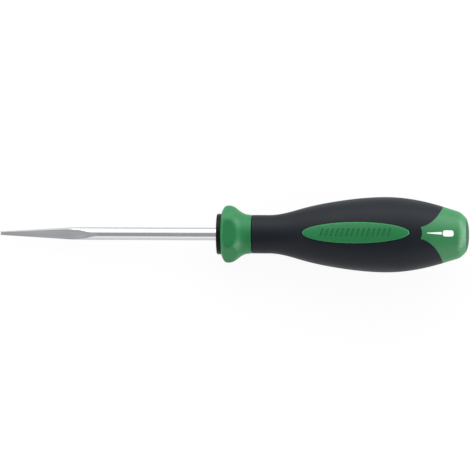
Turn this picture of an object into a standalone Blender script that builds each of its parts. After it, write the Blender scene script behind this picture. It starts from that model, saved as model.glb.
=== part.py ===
"""Square awl: a steel blade with a ground square point in a moulded handle, lying as it rests on a bench.

Metres, +Z up. Every piece is built along the tool's own axis, which runs in +X from the point to the handle's end with
its zero at the collar's front face, and a carrier then sets the whole tool down on the bench.
"""

import math

import bmesh
import bpy
from mathutils import Vector

# Blade
SHANK_DIAMETER = 0.0055
BLADE_REACH = 0.0931
TIP_WIDTH = 0.00132
TIP_BEVEL_LENGTH = 0.0010
TIP_BEVEL_WIDTH = 0.0005
FLAT_RUNOUT = 0.0415
POINT_ROLL = math.radians(12)
TANG_LENGTH = 0.0620
PINCH_WIDTH = 0.0072
PINCH_LENGTH = 0.0060
PINCH_RAMP = 0.0020
PINCH_PLACES = (0.0330, 0.0490)

# Core
COLLAR_DIAMETER = 0.0173
COLLAR_LENGTH = 0.0015
COLLAR_ROUND = 0.0004
KEY_COUNT = 6
KEY_DEPTH = 0.0006
SKIN = 0.0022
GAP = 0.0003

# Guard
GUARD_DIAMETER = 0.0248
GUARD_FLATS = 0.0215
GUARD_FLAT_COUNT = 6
GUARD_CREST = 0.0047
GUARD_WAIST = 0.0095
GUARD_WAIST_DIAMETER = 0.0200
GUARD_WAIST_SLOPE = -0.83
GUARD_FOOT = 0.0142
GUARD_END = 0.0149
LAP_LENGTH = 0.0040
LAP_WALL = 0.0009

# Outline of the handle behind the guard
HANDLE_LENGTH = 0.1074
NECK_DIAMETER = 0.0164
NECK_END = 0.0221
SWELL_PLACE = 0.0346
SWELL_DIAMETER = 0.0211
SWELL_SLOPE = 0.30
PALM_PLACE = 0.0526
PALM_DIAMETER = 0.0288
PALM_SLOPE = 0.15
BELLY_TO_END = 0.0353
BELLY_DIAMETER = 0.0321

# Line between grip and cap
LOBE_TO_END = 0.0110
LOBE_DEPTH = 0.0121
LOBE_SPAN = math.radians(81)
LOBE_SQUARENESS = 2.4
TONGUE_TO_END = 0.0195
TONGUE_DISH = 0.0005

# End cap
CAP_DIAMETER = 0.0240
CAP_SLOPE = -0.31
END_ROUND = 0.0055
END_CROWN = 0.0009
END_FLAT_DIAMETER = 0.0075
END_WALL = 0.0054

# Inlays
INLAY_TO_END = 0.0480
INLAY_LENGTH = 0.0462
INLAY_WIDTH = 0.0092
INLAY_RAISE = 0.0004
INLAY_EDGE = 0.0004
PEG_DIAMETER = 0.0024
PEG_LENGTH = 0.0030
PEG_SPREAD = 0.0260

# Fineness of the round shapes
BLADE_SIDES = 32
CORE_SIDES = 48
GRIP_SIDES = 64
INLAY_SIDES = 40
PEG_SIDES = 16

# Sizes that follow from the ones above
SHANK_RADIUS = SHANK_DIAMETER / 2
POINT_PLACE = -BLADE_REACH
COLLAR_RADIUS = COLLAR_DIAMETER / 2
NECK_RADIUS = NECK_DIAMETER / 2
GUARD_FRONT = COLLAR_LENGTH + GAP
LAP_RADIUS = NECK_RADIUS - SKIN + GAP + LAP_WALL
GRIP_FRONT = GUARD_END + GAP
BELLY_PLACE = HANDLE_LENGTH - BELLY_TO_END
LOBE_LINE = HANDLE_LENGTH - LOBE_TO_END
TONGUE_FRONT = HANDLE_LENGTH - TONGUE_TO_END
LOBE_ROOT = TONGUE_FRONT - 0.003
CORE_END = HANDLE_LENGTH - END_WALL
INLAY_PLACE = HANDLE_LENGTH - INLAY_TO_END

# Knots of the two outlines: place along the axis, radius and slope
GUARD_OUTLINE = (
    (GUARD_CREST, GUARD_DIAMETER / 2, 0),
    (GUARD_WAIST, GUARD_WAIST_DIAMETER / 2, GUARD_WAIST_SLOPE),
    (GUARD_FOOT, NECK_RADIUS, 0),
    (GUARD_END, NECK_RADIUS, 0),
)
GRIP_OUTLINE = (
    (GUARD_END, NECK_RADIUS, 0),
    (NECK_END, NECK_RADIUS, 0),
    (SWELL_PLACE, SWELL_DIAMETER / 2, SWELL_SLOPE),
    (PALM_PLACE, PALM_DIAMETER / 2, PALM_SLOPE),
    (BELLY_PLACE, BELLY_DIAMETER / 2, 0),
    (LOBE_LINE, CAP_DIAMETER / 2, CAP_SLOPE),
    (HANDLE_LENGTH, CAP_DIAMETER / 2 + CAP_SLOPE * LOBE_TO_END, CAP_SLOPE),
)


def outline(knots, place):
    """Radius at one place of a smooth curve through knots that each give a place, a radius and a slope."""
    if place <= knots[0][0]:
        return knots[0][1]
    for (start, low, rise), (stop, high, fall) in zip(knots, knots[1:]):
        if place <= stop:
            length = stop - start
            t = (place - start) / length
            ends = low + (high - low) * t * t * (3 - 2 * t)
            return ends + length * t * (1 - t) * (rise * (1 - t) - fall * t)
    return knots[-1][1]


def steps(start, stop, count):
    """Evenly spaced places from start to stop, both included."""
    return [start + (stop - start) * i / (count - 1) for i in range(count)]


def bend(start, corner, end, count):
    """Points of a curve that leaves start towards the corner and arrives at end from it."""
    points = []
    for t in steps(0, 1, count):
        a, b, c = (1 - t) ** 2, 2 * t * (1 - t), t * t
        points.append(tuple(a * p + b * q + c * r for p, q, r in zip(start, corner, end)))
    return points


def around(count, crowding=0.0):
    """Angles once around the axis from +Z. Crowding draws them together at the top and bottom, where the tongues are."""
    turns = [2 * math.pi * i / count for i in range(count)]
    return [turn - crowding / 2 * math.sin(2 * turn) for turn in turns]


def ring(angles, place, radius):
    """One ring of points. Place and radius are numbers, or functions of the angle."""
    points = []
    for angle in angles:
        x = place(angle) if callable(place) else place
        r = radius(x, angle) if callable(radius) else radius
        points.append(Vector((x, r * math.sin(angle), r * math.cos(angle))))
    return points


def core_radius(place, angle):
    """Outside of the core: the handle's outline less its skin, with shallow lengthwise flutes that key the skin."""
    flute = KEY_DEPTH * (1 - math.cos(KEY_COUNT * angle)) / 2
    return outline(GRIP_OUTLINE, place) - SKIN - flute


def skin_bore(place, angle):
    """Inside of every piece that sits on the core."""
    return core_radius(place, angle) + GAP


def grip_radius(place, angle):
    return outline(GRIP_OUTLINE, place)


def seam(angle):
    """Place of the line between grip and cap: a long lobe of grip on each side, a tongue of cap on top and bottom."""
    away = abs((angle + math.pi / 2) % math.pi - math.pi / 2)
    share = min(1.0, (math.pi / 2 - away) / LOBE_SPAN)
    bulge = (1 - share**LOBE_SQUARENESS) ** (1 / LOBE_SQUARENESS)
    lobe = LOBE_LINE - LOBE_DEPTH * (1 - bulge)
    tongue = TONGUE_FRONT - TONGUE_DISH * (away / (math.pi / 2 - LOBE_SPAN)) ** 2
    return max(lobe, tongue)


def from_seam(share, side, far):
    """A place that lies a share of the way from the seam, shifted half a gap to its own side, to a far ring."""
    return lambda angle: (seam(angle) + side * GAP / 2) * (1 - share) + far * share


def bar_ring(angles, place, half_width, half_height):
    """One oval ring of the steel bar, or of the hole that the core leaves round it."""
    points = []
    for angle in angles:
        points.append(Vector((place, half_width * math.sin(angle), half_height * math.cos(angle))))
    return points


def tang_rings(angles, room):
    """Rings of the tang from the collar to its rear end. It is pinched flat in places, keeping its sectional area."""
    wide = PINCH_WIDTH / 2
    thin = SHANK_RADIUS**2 / wide
    round_size = SHANK_RADIUS + room
    rings = []
    for place in PINCH_PLACES:
        flat_start = place - PINCH_LENGTH / 2
        flat_stop = place + PINCH_LENGTH / 2
        rings.append(bar_ring(angles, flat_start - PINCH_RAMP, round_size, round_size))
        rings.append(bar_ring(angles, flat_start, wide + room, thin + room))
        rings.append(bar_ring(angles, flat_stop, wide + room, thin + room))
        rings.append(bar_ring(angles, flat_stop + PINCH_RAMP, round_size, round_size))
    rings.append(bar_ring(angles, TANG_LENGTH + room, round_size, round_size))
    return rings


def loft(rings, closed=False):
    """A solid skinned over a stack of rings. A ring of one point is a pole; an open stack is capped at both ends."""
    bm = bmesh.new()
    loops = [[bm.verts.new(point) for point in points] for points in rings]
    pairs = list(zip(loops, loops[1:]))
    if closed:
        pairs.append((loops[-1], loops[0]))
    for first, second in pairs:
        for i in range(max(len(first), len(second))):
            if len(first) == 1:
                corners = (first[0], second[i], second[i - 1])
            elif len(second) == 1:
                corners = (first[i - 1], first[i], second[0])
            else:
                corners = (first[i - 1], first[i], second[i], second[i - 1])
            bm.faces.new(corners)
    if not closed:
        for end in (loops[0], loops[-1]):
            if len(end) > 1:
                bm.faces.new(end)
    bmesh.ops.recalc_face_normals(bm, faces=bm.faces)
    return bm


def grind(bm, point, normal):
    """Takes off everything beyond a plane and closes the solid with the flat that is left."""
    cut = bmesh.ops.bisect_plane(
        bm, geom=bm.verts[:] + bm.edges[:] + bm.faces[:], plane_co=point, plane_no=normal, dist=1e-7, clear_outer=True
    )
    edges = [item for item in cut["geom_cut"] if isinstance(item, bmesh.types.BMEdge)]
    bmesh.ops.edgeloop_fill(bm, edges=edges)
    bmesh.ops.recalc_face_normals(bm, faces=bm.faces)


def finish(name, colour, metallic, roughness):
    """A plain material of its own for each piece."""
    material = bpy.data.materials.new(name)
    material.use_nodes = True
    shader = material.node_tree.nodes["Principled BSDF"]
    shader.inputs["Base Color"].default_value = (*colour, 1)
    shader.inputs["Metallic"].default_value = metallic
    shader.inputs["Roughness"].default_value = roughness
    return material


def add_piece(bm, name, material):
    """Turns a finished solid into a named object that rides on the tool's axis."""
    mesh = bpy.data.meshes.new(name)
    bm.to_mesh(mesh)
    bm.free()
    mesh.materials.append(material)
    mesh.shade_smooth()
    mesh.set_sharp_from_angle(angle=math.radians(35))
    piece = bpy.data.objects.new(name, mesh)
    piece.parent = tool_axis
    bpy.context.scene.collection.objects.link(piece)
    return piece


def add_tool_shape(bm, name):
    """A helper solid that only shapes others, so it stays out of the finished part."""
    helper = add_piece(bm, name, plain)
    helper.hide_render = True
    helper.display_type = "WIRE"
    return helper


def combine(piece, helper, operation):
    change = piece.modifiers.new(helper.name, "BOOLEAN")
    change.object = helper
    change.operation = operation
    change.solver = "EXACT"


def post(centre, radius, low, high):
    """An upright round post: the shape of a peg, or of the hole for it."""
    rings = []
    for height in (low, high):
        points = []
        for angle in around(PEG_SIDES):
            offset = Vector((radius * math.cos(angle), radius * math.sin(angle), height))
            points.append(Vector((centre, 0, 0)) + offset)
        rings.append(points)
    return loft(rings)


for startup in list(bpy.data.objects):
    bpy.data.objects.remove(startup, do_unlink=True)

tool_axis = bpy.data.objects.new("tool_axis", None)
bpy.context.scene.collection.objects.link(tool_axis)

plain = finish("helper_shape", (0.5, 0.5, 0.5), 0, 0.5)
steel = finish("chrome_plated_steel", (0.62, 0.63, 0.65), 1, 0.18)
core_plastic = finish("hard_black_plastic", (0.008, 0.009, 0.009), 0, 0.25)
guard_plastic = finish("hard_green_guard", (0.03, 0.19, 0.075), 0, 0.32)
grip_rubber = finish("soft_black_rubber", (0.018, 0.02, 0.022), 0, 0.7)
inlay_plastic = finish("hard_green_inlay", (0.03, 0.18, 0.07), 0, 0.38)
cap_plastic = finish("hard_green_cap", (0.03, 0.19, 0.075), 0, 0.32)

# Blade: a round bar with a pinched tang, then four long flats and four short bevels ground on its front end
bar_angles = around(BLADE_SIDES)
bar = loft([bar_ring(bar_angles, POINT_PLACE, SHANK_RADIUS, SHANK_RADIUS)] + tang_rings(bar_angles, 0))
flat_slope = (SHANK_RADIUS - TIP_WIDTH / 2) / FLAT_RUNOUT
bevel_slope = (TIP_WIDTH / 2 + flat_slope * TIP_BEVEL_LENGTH - TIP_BEVEL_WIDTH / 2) / TIP_BEVEL_LENGTH
for width, slope in ((TIP_WIDTH, flat_slope), (TIP_BEVEL_WIDTH, bevel_slope)):
    for side in range(4):
        turn = POINT_ROLL + side * math.pi / 2
        outward = Vector((0, -math.sin(turn), math.cos(turn)))
        grind(bar, Vector((POINT_PLACE, 0, 0)) + outward * width / 2, (outward - Vector((slope, 0, 0))).normalized())
blade = add_piece(bar, "blade", steel)

# Core: moulded round the tang, with a collar in front, and a fluted body that carries every other piece
core_angles = around(CORE_SIDES)
core_rings = [ring(core_angles, CORE_END, core_radius)]
for place in reversed(steps(NECK_END, LOBE_LINE, 11)):
    core_rings.append(ring(core_angles, place, core_radius))
core_rings.append(ring(core_angles, COLLAR_LENGTH, core_radius))
core_rings.append(ring(core_angles, COLLAR_LENGTH, COLLAR_RADIUS))
core_rings.append(ring(core_angles, COLLAR_ROUND, COLLAR_RADIUS))
core_rings.append(ring(core_angles, COLLAR_ROUND * 0.3, COLLAR_RADIUS - COLLAR_ROUND * 0.3))
core_rings.append(ring(core_angles, 0, COLLAR_RADIUS - COLLAR_ROUND))
core_rings.append(ring(core_angles, 0, SHANK_RADIUS + GAP))
core_rings.extend(tang_rings(core_angles, GAP))
handle_core = add_piece(loft(core_rings), "handle_core", core_plastic)

# Guard: a flared ring with six flats, whose rear lap reaches under the grip
flare = bend((GUARD_FRONT, COLLAR_RADIUS), (GUARD_FRONT * 1.3, GUARD_DIAMETER / 2), GUARD_OUTLINE[0][:2], 6)
guard_rings = [ring(core_angles, place, radius) for place, radius in flare]
for place in steps(GUARD_CREST, GUARD_FOOT, 11)[1:] + [GUARD_END]:
    guard_rings.append(ring(core_angles, place, outline(GUARD_OUTLINE, place)))
guard_rings.append(ring(core_angles, GUARD_END, LAP_RADIUS))
guard_rings.append(ring(core_angles, GUARD_END + LAP_LENGTH, LAP_RADIUS))
guard_rings.append(ring(core_angles, GUARD_END + LAP_LENGTH, skin_bore))
guard_rings.append(ring(core_angles, GUARD_FRONT, skin_bore))
guard_solid = loft(guard_rings, closed=True)
for side in range(GUARD_FLAT_COUNT):
    turn = side * 2 * math.pi / GUARD_FLAT_COUNT
    outward = Vector((0, math.sin(turn), math.cos(turn)))
    grind(guard_solid, outward * GUARD_FLATS / 2, outward)
guard = add_piece(guard_solid, "guard", guard_plastic)

# Grip: a sleeve over the core, counterbored in front for the guard's lap, with an oval window above and below
grip_angles = around(GRIP_SIDES, 0.55)
lap_stop = GUARD_END + LAP_LENGTH + GAP
grip_rings = [ring(grip_angles, GRIP_FRONT, grip_radius)]
for place in steps(NECK_END, LOBE_ROOT, 16):
    grip_rings.append(ring(grip_angles, place, grip_radius))
for share in (0.66, 0.33, 0):
    grip_rings.append(ring(grip_angles, from_seam(share, -1, LOBE_ROOT), grip_radius))
grip_rings.append(ring(grip_angles, from_seam(0, -1, LOBE_ROOT), skin_bore))
for place in reversed(steps(NECK_END, LOBE_ROOT, 9)):
    grip_rings.append(ring(grip_angles, place, skin_bore))
grip_rings.append(ring(grip_angles, lap_stop, skin_bore))
grip_rings.append(ring(grip_angles, lap_stop, LAP_RADIUS + GAP))
grip_rings.append(ring(grip_angles, GRIP_FRONT, LAP_RADIUS + GAP))
soft_grip = add_piece(loft(grip_rings, closed=True), "soft_grip", grip_rubber)
window_rings = []
for height in (-BELLY_DIAMETER, BELLY_DIAMETER):
    points = []
    for angle in around(INLAY_SIDES):
        along = INLAY_PLACE + (INLAY_LENGTH / 2 + GAP) * math.cos(angle)
        across = (INLAY_WIDTH / 2 + GAP) * math.sin(angle)
        points.append(Vector((along, across, height)))
    window_rings.append(points)
combine(soft_grip, add_tool_shape(loft(window_rings), "window_cutter"), "DIFFERENCE")


# Inlays: oval pads that stand a little proud of the grip, each with two pegs in blind holes in the core
def pad_ring(share, height):
    """One oval ring of a pad, a share of its full size; height gives the radius from the tool's axis."""
    points = []
    for angle in around(INLAY_SIDES):
        along = INLAY_PLACE + share * INLAY_LENGTH / 2 * math.cos(angle)
        across = share * INLAY_WIDTH / 2 * math.sin(angle)
        points.append(Vector((along, across, math.sqrt(height(along) ** 2 - across**2))))
    return points


def pad_bottom(place):
    return skin_bore(place, 0)


def pad_top(place):
    return outline(GRIP_OUTLINE, place) + INLAY_RAISE


def pad_shoulder(place):
    return pad_top(place) - INLAY_EDGE


def turned_over(bm):
    """The same solid half a turn round the tool's axis."""
    for vertex in bm.verts:
        vertex.co.y = -vertex.co.y
        vertex.co.z = -vertex.co.z
    return bm


middle = [Vector((INLAY_PLACE, 0, pad_bottom(INLAY_PLACE)))]
crown = [Vector((INLAY_PLACE, 0, pad_top(INLAY_PLACE)))]
rim_share = 1 - INLAY_EDGE / (INLAY_WIDTH / 2)
pad_rings = [middle, pad_ring(0.35, pad_bottom), pad_ring(0.7, pad_bottom), pad_ring(1, pad_bottom)]
pad_rings += [pad_ring(1, pad_shoulder), pad_ring(rim_share, pad_top)]
pad_rings += [pad_ring(0.6, pad_top), pad_ring(0.3, pad_top), crown]
inlay_top = add_piece(loft(pad_rings), "inlay_top", inlay_plastic)
inlay_bottom = add_piece(turned_over(loft(pad_rings)), "inlay_bottom", inlay_plastic)
for end in (-1, 1):
    centre = INLAY_PLACE + end * PEG_SPREAD / 2
    foot = core_radius(centre, 0) - PEG_LENGTH
    head = skin_bore(centre, 0) + SKIN / 2
    hole = PEG_DIAMETER / 2 + GAP
    for name, inlay in (("top", inlay_top), ("bottom", inlay_bottom)):
        peg = post(centre, PEG_DIAMETER / 2, foot, head)
        socket = post(centre, hole, foot - GAP, head)
        if inlay is inlay_bottom:
            peg = turned_over(peg)
            socket = turned_over(socket)
        combine(inlay, add_tool_shape(peg, f"peg_{name}_{end}"), "UNION")
        combine(handle_core, add_tool_shape(socket, f"peg_socket_{name}_{end}"), "DIFFERENCE")

# End cap: a cup over the core's rear end, its front edge following the seam, its rear end crowned to a small flat
round_start = HANDLE_LENGTH - END_ROUND
round_radius = outline(GRIP_OUTLINE, round_start)
corner_place = HANDLE_LENGTH - END_CROWN
end_corner = (corner_place, outline(GRIP_OUTLINE, corner_place))
cap_rings = [[Vector((CORE_END + GAP, 0, 0))], ring(grip_angles, CORE_END + GAP, skin_bore)]
for share in (0.5, 0):
    cap_rings.append(ring(grip_angles, from_seam(share, 1, CORE_END + GAP), skin_bore))
for share in (0, 0.3, 0.65, 1):
    cap_rings.append(ring(grip_angles, from_seam(share, 1, round_start), grip_radius))
for place, radius in bend((round_start, round_radius), end_corner, (HANDLE_LENGTH, END_FLAT_DIAMETER / 2), 7)[1:]:
    cap_rings.append(ring(grip_angles, place, radius))
end_cap = add_piece(loft(cap_rings), "end_cap", cap_plastic)

# Resting place: the guard's lowest flat and the lower inlay carry the tool, so the point dips a little
bpy.context.view_layer.update()
graph = bpy.context.evaluated_depsgraph_get()
guard_foot = min((vertex.co for vertex in guard.data.vertices), key=lambda co: (round(co.z, 6), co.x))
points = []
for piece in (blade, handle_core, guard, soft_grip, inlay_top, inlay_bottom, end_cap):
    points.extend(vertex.co.copy() for vertex in piece.evaluated_get(graph).data.vertices)
behind = [point for point in points if point.x > GUARD_END]
dip = max(math.atan2(guard_foot.z - point.z, point.x - guard_foot.x) for point in behind)
tool_axis.rotation_euler = (0, -dip, 0)
bpy.context.view_layer.update()
laid = [tool_axis.matrix_world @ point for point in points]
left, right = min(point.x for point in laid), max(point.x for point in laid)
near, far = min(point.y for point in laid), max(point.y for point in laid)
lowest = min(point.z for point in laid)
tool_axis.location = (-(left + right) / 2, -(near + far) / 2, -lowest)
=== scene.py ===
import math

import bmesh
import bpy
from mathutils import Matrix, Vector


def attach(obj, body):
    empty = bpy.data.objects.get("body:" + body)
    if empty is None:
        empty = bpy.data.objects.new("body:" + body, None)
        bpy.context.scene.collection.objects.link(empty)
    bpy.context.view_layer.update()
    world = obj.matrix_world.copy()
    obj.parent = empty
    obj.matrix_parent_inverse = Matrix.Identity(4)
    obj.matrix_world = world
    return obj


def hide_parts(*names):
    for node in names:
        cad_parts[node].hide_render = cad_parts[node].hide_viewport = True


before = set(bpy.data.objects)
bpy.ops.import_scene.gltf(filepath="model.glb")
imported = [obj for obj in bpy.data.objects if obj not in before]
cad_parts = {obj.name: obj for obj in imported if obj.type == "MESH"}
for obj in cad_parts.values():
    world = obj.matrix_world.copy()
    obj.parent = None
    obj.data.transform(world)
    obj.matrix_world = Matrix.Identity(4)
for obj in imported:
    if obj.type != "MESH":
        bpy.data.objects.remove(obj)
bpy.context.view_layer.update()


# Blade. One bar of hardened steel, 5.5 mm round and chrome plated, with four long flats ground on its front
# end to make the square point. Its rear end, the tang, is pinched flat in two places so that the handle
# moulded round it holds it. Stations are metres along the tool, from the collar's front to the handle's end.
SHANK_RADIUS = 0.00275
POINT_AT = -0.0931
POINT_ROLL = math.radians(16)
POINT_CREASE = math.radians(20)
EDGE_WEAR = 0.00009
# A ground face's normal leans forward more than the shank's and less than that of the tip's end.
GROUND_LEAN_LEAST = -0.02
GROUND_LEAN_MOST = -0.995
TIP_HALF_WIDTH = 0.00066
TIP_BEVEL_LENGTH = 0.0004
TIP_BEVEL_HALF_WIDTH = 0.00044
SIDE_RUNOUT = 0.0388
# The hollow of the two broad flats: distance from the tip, height over the axis, slope.
FLAT_FLOOR = (
    (0.0, TIP_HALF_WIDTH, 0.0335),
    (0.0328, 0.00176, 0.050),
    (0.0381, 0.00246, 0.115),
    (0.0448, 0.00280, 0.020),
    (0.0540, 0.00400, 0.110),
)
# The grinding wheel's path over a broad flat: its width, and the steps in which it is drawn.
WHEEL_WIDTH = 0.02
WHEEL_STEP = 0.0012
WHEEL_STEPS = 46
# The tang: station, width and thickness as shares of the round bar.
PINCH_WIDE = 1.309
PINCH_THIN = 0.764
TANG_STATIONS = (
    (0.0, 1.0, 1.0),
    (0.0280, 1.0, 1.0),
    (0.0300, PINCH_WIDE, PINCH_THIN),
    (0.0360, PINCH_WIDE, PINCH_THIN),
    (0.0380, 1.0, 1.0),
    (0.0440, 1.0, 1.0),
    (0.0460, PINCH_WIDE, PINCH_THIN),
    (0.0520, PINCH_WIDE, PINCH_THIN),
    (0.0540, 1.0, 1.0),
    (0.0620, 1.0, 1.0),
)
# How the tool lies: the dip of its axis towards the point, and the middle of the collar's front.
TOOL_DIP = math.radians(4.9585)
COLLAR_AT = Vector((-0.0072725, 0, 0.0105024))
# Points closer than these are merged, and faces narrower than a sliver are cleared, after a cut.
CUT_TOLERANCE = 0.0000001
CUT_POINTS_MEET = 0.000005
SLIVER_WIDTH = 0.000002


def linear(colour):
    """An sRGB hex colour as the linear red, green, blue and alpha that Blender's sockets take."""
    values = [int(colour[i : i + 2], 16) / 255 for i in (1, 3, 5)]
    return (*[v / 12.92 if v <= 0.04045 else ((v + 0.055) / 1.055) ** 2.4 for v in values], 1)


def add_node(material, kind, settings=None, values=None, links=None):
    """Adds one shader node with its own settings, its inputs' values and the links into its inputs."""
    node = material.node_tree.nodes.new(kind)
    for name, value in (settings or {}).items():
        setattr(node, name, value)
    for name, value in (values or {}).items():
        node.inputs[name].default_value = value
    for name, source in (links or {}).items():
        material.node_tree.links.new(source, node.inputs[name])
    return node


def empty_material(name):
    """A new material with no nodes in it yet."""
    material = bpy.data.materials.new(name)
    material.use_nodes = True
    material.node_tree.nodes.clear()
    return material


def pick(piece):
    """Makes a piece the active one and the only one selected."""
    bpy.ops.object.select_all(action="DESELECT")
    piece.select_set(True)
    bpy.context.view_layer.objects.active = piece


def begin_edit(selection):
    """Opens the active piece for editing, with everything selected or everything deselected."""
    bpy.ops.object.mode_set(mode="EDIT")
    bpy.ops.mesh.select_all(action=selection)


def face_outwards():
    """Turns all faces of the piece that is being edited to look outwards."""
    bpy.ops.mesh.select_all(action="SELECT")
    bpy.ops.mesh.normals_make_consistent(inside=False)


def lay_down(piece):
    """Turns a piece that was made along the tool's own axis into the tool's resting place on the bench."""
    pick(piece)
    piece.rotation_euler = (0, -TOOL_DIP, 0)
    piece.location = COLLAR_AT
    bpy.ops.object.transform_apply(location=True, rotation=True, scale=True)


bpy.ops.object.select_all(action="DESELECT")
bpy.ops.mesh.primitive_circle_add(
    vertices=160,
    radius=SHANK_RADIUS,
    fill_type="NGON",
    location=(POINT_AT, 0, 0),
    rotation=(0, math.pi / 2, 0),
)
blade = bpy.context.object
blade.name = "steel_blade"
bpy.ops.object.transform_apply(location=True, rotation=True, scale=True)
begin_edit("SELECT")
reached = POINT_AT
last_wide, last_thin = 1.0, 1.0
for station, wide, thin in TANG_STATIONS:
    bpy.ops.mesh.extrude_region_move(TRANSFORM_OT_translate={"value": (station - reached, 0, 0)})
    bpy.ops.transform.resize(value=(1, wide / last_wide, thin / last_thin), center_override=(station, 0, 0))
    reached = station
    last_wide, last_thin = wide, thin
flat_slope = (SHANK_RADIUS - TIP_HALF_WIDTH) / SIDE_RUNOUT
bevel_slope = (TIP_HALF_WIDTH + flat_slope * TIP_BEVEL_LENGTH - TIP_BEVEL_HALF_WIDTH) / TIP_BEVEL_LENGTH
cuts = [(TIP_HALF_WIDTH, flat_slope, side) for side in (1, 3)]
cuts += [(TIP_BEVEL_HALF_WIDTH, bevel_slope, side) for side in range(4)]
for half_width, slope, side in cuts:
    turn = POINT_ROLL + side * math.pi / 2
    outward = Vector((0, -math.sin(turn), math.cos(turn)))
    bpy.ops.mesh.select_all(action="SELECT")
    bpy.ops.mesh.bisect(
        plane_co=Vector((POINT_AT, 0, 0)) + outward * half_width,
        plane_no=(outward - Vector((slope, 0, 0))).normalized(),
        use_fill=True,
        clear_outer=True,
        threshold=CUT_TOLERANCE,
    )
bpy.ops.object.mode_set(mode="OBJECT")


def apply_modifier(piece, kind, settings):
    """Adds one modifier with its settings and applies it at once."""
    pick(piece)
    change = piece.modifiers.new(kind.lower(), kind)
    for name, value in settings.items():
        setattr(change, name, value)
    bpy.ops.object.modifier_apply(modifier=change.name)


def clear_slivers(piece):
    """Merges points that almost touch and takes out points with only two edges, which would double faces."""
    bpy.ops.mesh.select_all(action="SELECT")
    bpy.ops.mesh.remove_doubles(threshold=CUT_POINTS_MEET)
    bpy.ops.mesh.dissolve_degenerate(threshold=SLIVER_WIDTH)
    bpy.ops.mesh.select_all(action="DESELECT")
    mesh = bmesh.from_edit_mesh(piece.data)
    for vertex in mesh.verts:
        vertex.select_set(len(vertex.link_edges) == 2)
    bmesh.update_edit_mesh(piece.data)
    bpy.ops.mesh.dissolve_verts()


def boolean(piece, helper, operation):
    """Cuts or trims a piece by a helper solid, throws the helper away and clears the slivers of the cut."""
    apply_modifier(piece, "BOOLEAN", {"object": helper, "operation": operation, "solver": "EXACT"})
    bpy.data.objects.remove(helper, do_unlink=True)
    begin_edit("DESELECT")
    clear_slivers(piece)
    bpy.ops.object.mode_set(mode="OBJECT")


def outline(knots, station):
    """Radius at one station of a smooth curve through knots, each with a station, a radius and a slope."""
    if station <= knots[0][0]:
        return knots[0][1]
    for (start, low, rise), (stop, high, fall) in zip(knots, knots[1:]):
        if station <= stop:
            length = stop - start
            t = (station - start) / length
            ends = low + (high - low) * t * t * (3 - 2 * t)
            return ends + length * t * (1 - t) * (rise * (1 - t) - fall * t)
    return knots[-1][1]


def is_ground(face):
    """True for a slanting face of the point, and false for the round shank, the tang and the tip's end."""
    return GROUND_LEAN_MOST < face.normal.x < GROUND_LEAN_LEAST


for side in (0, 2):
    bpy.ops.object.select_all(action="DESELECT")
    bpy.ops.mesh.primitive_plane_add(
        size=WHEEL_WIDTH, location=(POINT_AT - WHEEL_STEP, 0, 0), rotation=(0, math.pi / 2, 0)
    )
    wheel_path = bpy.context.object
    bpy.ops.object.transform_apply(location=True, rotation=True, scale=True)
    begin_edit("SELECT")
    for step in range(WHEEL_STEPS):
        bpy.ops.mesh.extrude_region_move(TRANSFORM_OT_translate={"value": (WHEEL_STEP, 0, 0)})
    mesh = bmesh.from_edit_mesh(wheel_path.data)
    for vertex in mesh.verts:
        if vertex.co.z < 0:
            vertex.co.z = outline(FLAT_FLOOR, vertex.co.x - POINT_AT)
    bmesh.update_edit_mesh(wheel_path.data)
    face_outwards()
    bpy.ops.object.mode_set(mode="OBJECT")
    wheel_path.rotation_euler = (POINT_ROLL + side * math.pi / 2, 0, 0)
    bpy.ops.object.transform_apply(location=True, rotation=True, scale=True)
    boolean(blade, wheel_path, "DIFFERENCE")
begin_edit("SELECT")
face_outwards()
bpy.ops.mesh.select_mode(type="EDGE")
bpy.ops.mesh.select_all(action="DESELECT")
mesh = bmesh.from_edit_mesh(blade.data)
for edge in mesh.edges:
    ground = [face for face in edge.link_faces if is_ground(face)]
    edge.select_set(len(ground) == 2 and edge.calc_face_angle(0) > POINT_CREASE)
bmesh.update_edit_mesh(blade.data)
bpy.ops.mesh.bevel(offset=EDGE_WEAR, segments=2, profile=0.5, affect="EDGES")
bpy.ops.mesh.select_mode(type="VERT")
clear_slivers(blade)
bpy.ops.object.mode_set(mode="OBJECT")

# Chrome over polished steel: almost a mirror, with the faint rings that polishing on a lathe leaves and
# slightly duller patches where it was handled. The real rings are 0.05 mm apart; they are drawn at 0.4 mm,
# so that they show.
POLISH_RING = 0.0004
POLISH_RING_LENGTH = 0.011
HANDLED_PATCH = 0.006

chrome = empty_material("polished_chrome_plate")
place = add_node(chrome, "ShaderNodeTexCoord")
along_tool = add_node(
    chrome,
    "ShaderNodeMapping",
    settings={"vector_type": "TEXTURE"},
    values={"Location": COLLAR_AT, "Rotation": (0, -TOOL_DIP, 0)},
    links={"Vector": place.outputs["Object"]},
)
ring_spacing = add_node(
    chrome,
    "ShaderNodeMapping",
    values={"Scale": (1 / POLISH_RING, 1 / POLISH_RING_LENGTH, 1 / POLISH_RING_LENGTH)},
    links={"Vector": along_tool.outputs["Vector"]},
)
polish_rings = add_node(
    chrome,
    "ShaderNodeTexNoise",
    values={"Scale": 1.0, "Detail": 3.0},
    links={"Vector": ring_spacing.outputs["Vector"]},
)
handled_patches = add_node(
    chrome,
    "ShaderNodeTexNoise",
    values={"Scale": 1 / HANDLED_PATCH, "Detail": 4.0},
    links={"Vector": along_tool.outputs["Vector"]},
)
dullness = add_node(
    chrome,
    "ShaderNodeMapRange",
    values={"From Min": 0.35, "From Max": 0.7, "To Min": 0.11, "To Max": 0.19},
    links={"Value": handled_patches.outputs["Fac"]},
)
ring_height = add_node(
    chrome,
    "ShaderNodeBump",
    values={"Strength": 0.015, "Distance": 0.00004},
    links={"Height": polish_rings.outputs["Fac"]},
)
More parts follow.
